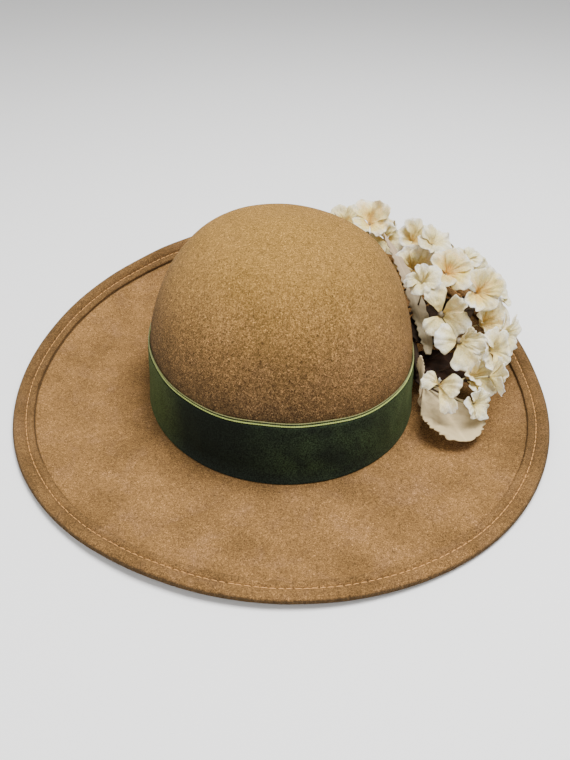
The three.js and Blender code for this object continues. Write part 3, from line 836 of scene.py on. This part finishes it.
def petal_surface(length, breadth, lift, curl, cup, ruffle, pleat, chance):
    """One petal along +X with its base at the origin. Rows run from base to margin, columns across. Also
    each point's place along and across it, its quads, and the area that it was cut to."""
    rows, columns = 19, 31
    along = np.linspace(0, 1, rows)
    across = np.linspace(-1, 1, columns)
    throat = THROAT_STEEPER * (1 - along) ** 1.7
    slope = np.radians(lift + throat + curl * smooth_step((along - 0.3) / 0.7))
    middles = (slope[1:] + slope[:-1]) / 2
    reach = np.concatenate([[0], np.cumsum(np.cos(middles))]) / (rows - 1)
    rise = np.concatenate([[0], np.cumsum(np.sin(middles))]) / (rows - 1)
    phase = chance.uniform(0, 2 * math.pi, 6)
    scallop = sum(depth * np.sin(pace * across + start) for (depth, pace), start in zip(SCALLOPS, phase))
    outline = (1 - 0.22 * np.abs(across) ** 3) * (1 + scallop)
    share = along[:, None] * outline[None, :]
    turn = np.radians(FULLNESS * breadth) * (0.86 + 0.14 * smooth_step(share / 0.5)) * across[None, :]
    cut = np.stack([share * np.cos(turn), share * np.sin(turn)], axis=-1) * length
    pleats = smooth_step(share / 0.5) * (1 - 0.4 * share) * np.sin(19 * across + phase[5])[None, :]
    waves = ruffle * share ** 3 * np.sin(5.5 * across + phase[3])[None, :]
    waves += 0.4 * ruffle * share ** 5 * np.sin(14 * across + phase[4])[None, :]
    waves += 0.55 * pleat * pleats
    waves += (cup * across[None, :] ** 2 + OVERLAP * across[None, :]) * length * share
    waves += crumple(cut, chance) * smooth_step(share / 0.35)
    leaning = np.interp(share, along, slope)
    level_reach = np.interp(share, along, reach)
    distance = level_reach * length - np.sin(leaning) * waves
    height = np.interp(share, along, rise) * length + np.cos(leaning) * waves
    points = np.stack([distance * np.cos(turn), distance * np.sin(turn), height], axis=-1)
    quads = grid_quads(rows, columns)
    across_grid = np.broadcast_to(across, share.shape)
    flat = np.stack([share * length, turn * level_reach * length], axis=-1).reshape(-1, 2)
    return points.reshape(-1, 3), share.ravel(), across_grid.ravel(), quads, quad_area(flat, quads)


def bead_surface(radius):
    """A small ball with a flat underside, centred on the origin."""
    rows, columns = 9, 14
    polar = np.linspace(0.02, math.pi * 0.85, rows)
    turn = whole_turn(columns)
    points = radius * np.stack([
        np.outer(np.sin(polar), np.cos(turn)), np.outer(np.sin(polar), np.sin(turn)),
        np.outer(np.cos(polar), np.ones(columns))], axis=-1).reshape(-1, 3)
    faces = grid_quads(rows, columns, round_columns=True).tolist()
    faces.append(list(range(columns)))
    faces.append([(rows - 1) * columns + column for column in range(columns)][::-1])
    return points, faces


def petal_rows(number, chance):
    """A floret's petals, as a table says or else by chance."""
    if number in PETAL_ROWS:
        return PETAL_ROWS[number]
    return [
        (turn + chance.uniform(-10, 10), chance.uniform(1.05, 1.2), chance.uniform(47, 54),
         chance.uniform(12, 36), chance.uniform(-45, 0), chance.uniform(-0.08, 0.08),
         chance.uniform(0.9, 1.6), chance.uniform(0.2, 0.7))
        for turn in DEFAULT_PETAL_TURNS
    ]


def floret_piece(floret, cloth, bead):
    """Four ruffled petals round a small bead."""
    number = floret.number
    chance = np.random.default_rng(100 + number)
    rows = petal_rows(number, chance)
    # Petals of the other florets get a random tan tone
    guessed = np.random.default_rng(500 + number).uniform(0, 0.6, len(rows))
    points, faces = [], []
    shades = {"along": [], "across": [], "beige_and_painted_shade": []}
    start = 0
    for row, beige_and_painted_shade in zip(rows, PAINTED_SHADE_PETALS.get(number, guessed)):
        petal = dict(zip(PETAL_COLUMNS, row))
        heading = math.radians(petal.pop("heading"))
        petal["length"] *= FLORET_RADIUS * floret.size
        surface, along, across, quads, area = petal_surface(chance=chance, **petal)
        ahead = [math.cos(heading), math.sin(heading), 0]
        aside = [-math.sin(heading), math.cos(heading), 0]
        points.append(surface @ np.array([ahead, aside, [0, 0, 1]]))
        shades["along"].append(along)
        shades["across"].append(across)
        shades["beige_and_painted_shade"].append(np.full(len(surface), beige_and_painted_shade))
        faces += (quads + start).tolist()
        start += len(surface)
    shades = {key: np.concatenate(values) for key, values in shades.items()}
    shades["warmth"] = np.full(start, FLORET_WARMTH.get(number, chance.uniform(0.1, 0.8)))
    piece = add_piece(f"flower_{number:02d}", floret.placed(np.concatenate(points)), faces, cloth,
                      [f"floret_{number:02d}"], shades)
    thicken(piece, "cloth", PETAL_THICKNESS)
    radius = FRONT_BEAD if number in FRONT_FLORETS else SMALL_BEAD
    ball, ball_faces = bead_surface(radius)
    # Painted highlight on the bead, strongest at its top
    painted_highlight = np.clip(ball[:, 2] / radius, 0, 1)
    add_piece(f"bead_{number:02d}", floret.placed(ball + np.array([0, 0, radius])), ball_faces, bead,
              (), {"along": painted_highlight})


def wire_path(foot, knee, tip):
    """A wire that leaves the stem nearly level and comes up square behind a floret."""
    bend = np.linspace(0, 1, WIRE_STEPS)[:, None]
    first = foot + (knee - foot) * np.array([0.6, 0.6, 0.0])
    return (1 - bend) ** 3 * foot + 3 * (1 - bend) ** 2 * bend * first \
        + 3 * (1 - bend) * bend ** 2 * knee + bend ** 3 * tip


def spray_wires():
    """The wrapped main stem, and a bent wire for each floret."""
    shares = np.linspace(0, 1, 90)
    stem = np.stack([stem_point(share) for share in shares])
    tape_ridges = 1 + 0.06 * np.sin(shares * 170)
    rounded_ends = np.clip(np.minimum(shares, 1 - shares) * 60, 0.35, 1)
    radii = STEM_RADIUS * tape_ridges * rounded_ends
    tubes = [tube(stem, radii, 12)]
    for rise, end in SIDE_STEMS:
        strand = stem[:round(len(stem) * end)] + np.array([0, 0, rise])
        tubes.append(tube(strand, 0.95 * radii[:len(strand)], 12))
    stem_points = sum(len(points) for points, _ in tubes)
    for floret in florets:
        tip = floret.middle + floret.facing * 0.2
        knee = floret.middle - floret.facing * BRANCH_KNEE
        foot = stem[np.argmin(np.linalg.norm(stem - knee, axis=1))]
        path = wire_path(foot, knee, tip)
        tubes.append(tube(path, np.linspace(0.8, WIRE_RADIUS, len(path)), WIRE_SIDES))
    all_points = np.concatenate([points for points, _ in tubes])
    starts = np.cumsum([0] + [len(points) for points, _ in tubes])
    all_faces = []
    for (_, faces), start in zip(tubes, starts):
        all_faces += [[corner + start for corner in face] for face in faces]
    along = np.tile(np.repeat(np.linspace(0, 1, WIRE_STEPS), WIRE_SIDES), len(florets))
    along = np.concatenate([np.zeros(stem_points), along])
    return add_piece("spray_wires", all_points, all_faces, wrap_material(), ["spray_stem"],
                     {"along": along})


# Leaves. Their velvet lies on the middle of their solids, which are LEAF_THICKNESS thick.
LEAF_THICKNESS = 1.0
LEAF_VELVET = 0.7
LEAF_BLUNTNESS = 0.6
LEAF_FOLD = 0.16
LEAF_COLUMNS = ("name", "base", "middle", "tip", "half_width", "widest", "roll")
LEAF_ROWS = [
    ("leaf_crown_side", (-12, 9, 33), (11, 7.5, 56), (34, 9, 84), 6.2, 0.4, 10),
    ("leaf_back", (37, 4.2, 34.5), (46, 7, 68), (58, 8, 88), 6, 0.5, 20),
    ("leaf_upright", (-23, 6.5, 7), (-22.5, 3.6, 26), (-23.5, 2.2, 46), 4.6, 0.4, 0),
    ("leaf_broad", (-15, 6, 21), (-27, 20, 14), (-38.5, 41, 10), 21, 0.7, -5),
    ("leaf_outer", (-8, 2, 22), (-12, 30, 22), (-17, 50, 18), 14, 0.35, 10),
    # leaf_under is a dark leaf put behind the florets, where there is shade; its dark colour stands for that
    # shade
    ("leaf_under", (-4, 1, 37), (4, 28, 42), (11, 58, 44), 15, 0.3, 20),
]

# Teeth of the leaves: pitch and depth in millimetres, the share of the length where they start, and the
# sides that have them
PLAIN_TEETH = (2.4, 0.8, 0.1, (-1, 1))
LEAF_TEETH = {
    "leaf_crown_side": (5.0, 1.5, 0.0, (-1,)),
    "leaf_upright": (2.4, 0.5, 0.1, (-1, 1)),
    "leaf_broad": (3.0, 1.9, 0.6, (-1, 1)),
}

# Each leaf's light and dark display colours, and the tint of its tip
LEAF_COLOURS = {
    "leaf_crown_side": [(158, 146, 118), (120, 108, 84), (170, 148, 122)],
    "leaf_back": [(206, 190, 158), (176, 158, 124), (200, 184, 150)],
    "leaf_upright": [(220, 202, 166), (190, 170, 134), (214, 194, 156)],
    "leaf_broad": [(194, 175, 136), (124, 109, 80), (198, 178, 136)],
    "leaf_outer": [(58, 40, 30), (36, 26, 20), (64, 46, 34)],
    # Painted shade: leaf_under's dark colours stand for the shade beneath the florets
    "leaf_under": [(48, 36, 26), (30, 22, 16), (52, 40, 28)],
}


def leaf_midrib(base, middle, tip, share):
    """Points of a leaf's midrib, a curve through three places beside the band, and its length."""
    spots = [spot_beside_band(*place) for place in (base, middle, tip)]
    first = np.linalg.norm(spots[1] - spots[0])
    second = np.linalg.norm(spots[2] - spots[1])
    knot = first / (first + second)
    share = share[:, None]
    midrib = (share - knot) * (share - 1) / knot * spots[0]
    midrib = midrib + share * (share - 1) / (knot * (knot - 1)) * spots[1]
    midrib = midrib + share * (share - knot) / (1 - knot) * spots[2]
    return midrib, first + second


def leaf_piece(name, base, middle, tip, half_width, widest, roll):
    """A pinked velvet leaf, folded along its midrib."""
    rows, columns = 150, 21
    share = np.linspace(0.01, 0.99, rows)
    across = np.linspace(-1, 1, columns)
    midrib, length = leaf_midrib(base, middle, tip, share)
    tangent = unit(np.gradient(midrib, axis=0))
    level = unit(np.cross(tangent, [0, 0, 1.0]))
    turn = math.radians(roll)
    side = level * math.cos(turn) + np.cross(tangent, level) * math.sin(turn)
    square = np.cross(side, tangent)
    chance = np.random.default_rng(len(name) * 7)
    half = half_width * np.sin(math.pi * share ** (math.log(0.5) / math.log(widest))) ** LEAF_BLUNTNESS
    pitch, depth, start, sides = LEAF_TEETH.get(name, PLAIN_TEETH)
    walked = share * length / pitch
    uneven = 1 + 0.35 * np.sin(walked * 2.1 + chance.uniform(0, 6))
    notch = depth * uneven * (1 - np.abs(2 * (walked % 1) - 1)) * smooth_step((share - start) / 0.1)
    kept = [np.maximum(half - notch * (sign in sides), 0.3) for sign in (-1, 1)]
    offset = np.where(across < 0, kept[0][:, None], kept[1][:, None]) * across
    wave = 0.5 * np.sin(share[:, None] * 9 + 3 * across + chance.uniform(0, 6)) * np.abs(offset) / 8
    cloth = np.stack([offset, np.broadcast_to(share[:, None] * length, offset.shape)], axis=-1)
    wave += crumple(cloth, chance) * np.clip(np.abs(offset) / 6, 0, 1)
    raised_rib = 0.35 * np.exp(-(offset / 0.7) ** 2)
    lift = LEAF_FOLD * np.abs(offset) + LEAF_THICKNESS / 2 + wave + raised_rib
    points = midrib[:, None, :] + offset[..., None] * side[:, None, :] + lift[..., None] * square[:, None, :]
    shades = {"rib": np.exp(-(offset / 0.6) ** 2).ravel(), "along": np.repeat(share, columns)}
    piece = add_piece(name.replace("leaf", "velvet_leaf"), points.reshape(-1, 3), grid_quads(rows, columns),
                      leaf_material(name + "_velvet", *LEAF_COLOURS[name]), [name], shades)
    thicken(piece, "velvet", LEAF_VELVET)


felt_hat()
hem_stitches()
velvet_ribbon()
twisted_cord("cord_lower", LOWER_CORD_HEIGHT, 0.28, "edge_cord_lower",
             cord_material("lime_cord", (200, 212, 118), (132, 148, 66)))
twisted_cord("cord_upper", UPPER_CORD_HEIGHT, 0.21, "edge_cord_upper",
             cord_material("khaki_cord", (138, 138, 78), (84, 84, 44)))
spray_wires()
for leaf_row in LEAF_ROWS:
    leaf_piece(**dict(zip(LEAF_COLUMNS, leaf_row)))
petal_cloth = petal_material()
bead_centre = bead_material()
for floret in florets:
    floret_piece(floret, petal_cloth, bead_centre)


# Camera, at the photograph's viewing angle

CAMERA_PLACE = (-64.18, -439.12, 312.43)
CAMERA_ELEVATION = 34.56
CAMERA_YAW = 8.74
CAMERA_ROLL = 0.81
CAMERA_LENS = 37.04
SENSOR_WIDTH = 36


def photo_camera():
    """The camera looks down at its elevation, rolled a little, and is then turned about the upright."""
    elevation, yaw, roll = map(math.radians, (CAMERA_ELEVATION, CAMERA_YAW, CAMERA_ROLL))
    back = Vector((0, -math.cos(elevation), math.sin(elevation)))
    right = Vector((1, 0, 0))
    up = back.cross(right)
    rolled_right = right * math.cos(roll) + up * math.sin(roll)
    rolled_up = up * math.cos(roll) - right * math.sin(roll)
    axes = Matrix((rolled_right, rolled_up, back)).transposed()
    turn = Matrix.Rotation(-yaw, 3, "Z")
    data = bpy.data.cameras.new("photo_camera")
    data.lens = CAMERA_LENS
    data.sensor_width = SENSOR_WIDTH
    data.clip_start = 0.01
    camera = add_object("photo_camera", data)
    camera.matrix_world = Matrix.Translation(Vector(CAMERA_PLACE) * MM) @ (turn @ axes).to_4x4()
    bpy.context.scene.camera = camera


# The floor and the lights are in metres and watts. A light's row is its name, place, size and power
FLOOR_WIDTH = 6.0
SOFT_LIGHTS = [
    ("key_light", (0.25, -0.12, 1.2), 0.7, 31),
    ("fill_light", (-0.9, -1.1, 0.7), 1.0, 10),
]


def studio():
    """A plain pale floor and soft light."""
    half = FLOOR_WIDTH / 2
    corners = [(-half, -half, 0), (half, -half, 0), (half, half, 0), (-half, half, 0)]
    mesh = bpy.data.meshes.new("floor")
    mesh.from_pydata(corners, [], [(0, 1, 2, 3)])
    floor = add_object("floor", mesh)
    pale = Material("pale_floor", Roughness=0.9, Specular_IOR_Level=0.1)
    pale.shader.inputs["Base Color"].default_value = (0.95, 0.95, 0.95, 1)
    mesh.materials.append(pale.material)
    world = bpy.data.worlds.new("studio")
    world.use_nodes = True
    background = world.node_tree.nodes["Background"]
    background.inputs["Color"].default_value = (1.0, 0.99, 0.97, 1)
    background.inputs["Strength"].default_value = 0.52
    bpy.context.scene.world = world
    for name, place, size, power in SOFT_LIGHTS:
        light = bpy.data.lights.new(name, "AREA")
        light.size = size
        light.energy = power
        lamp = add_object(name, light)
        lamp.location = place
        lamp.rotation_mode = "QUATERNION"
        lamp.rotation_quaternion = (-Vector(place)).to_track_quat("-Z", "Y")


photo_camera()
studio()
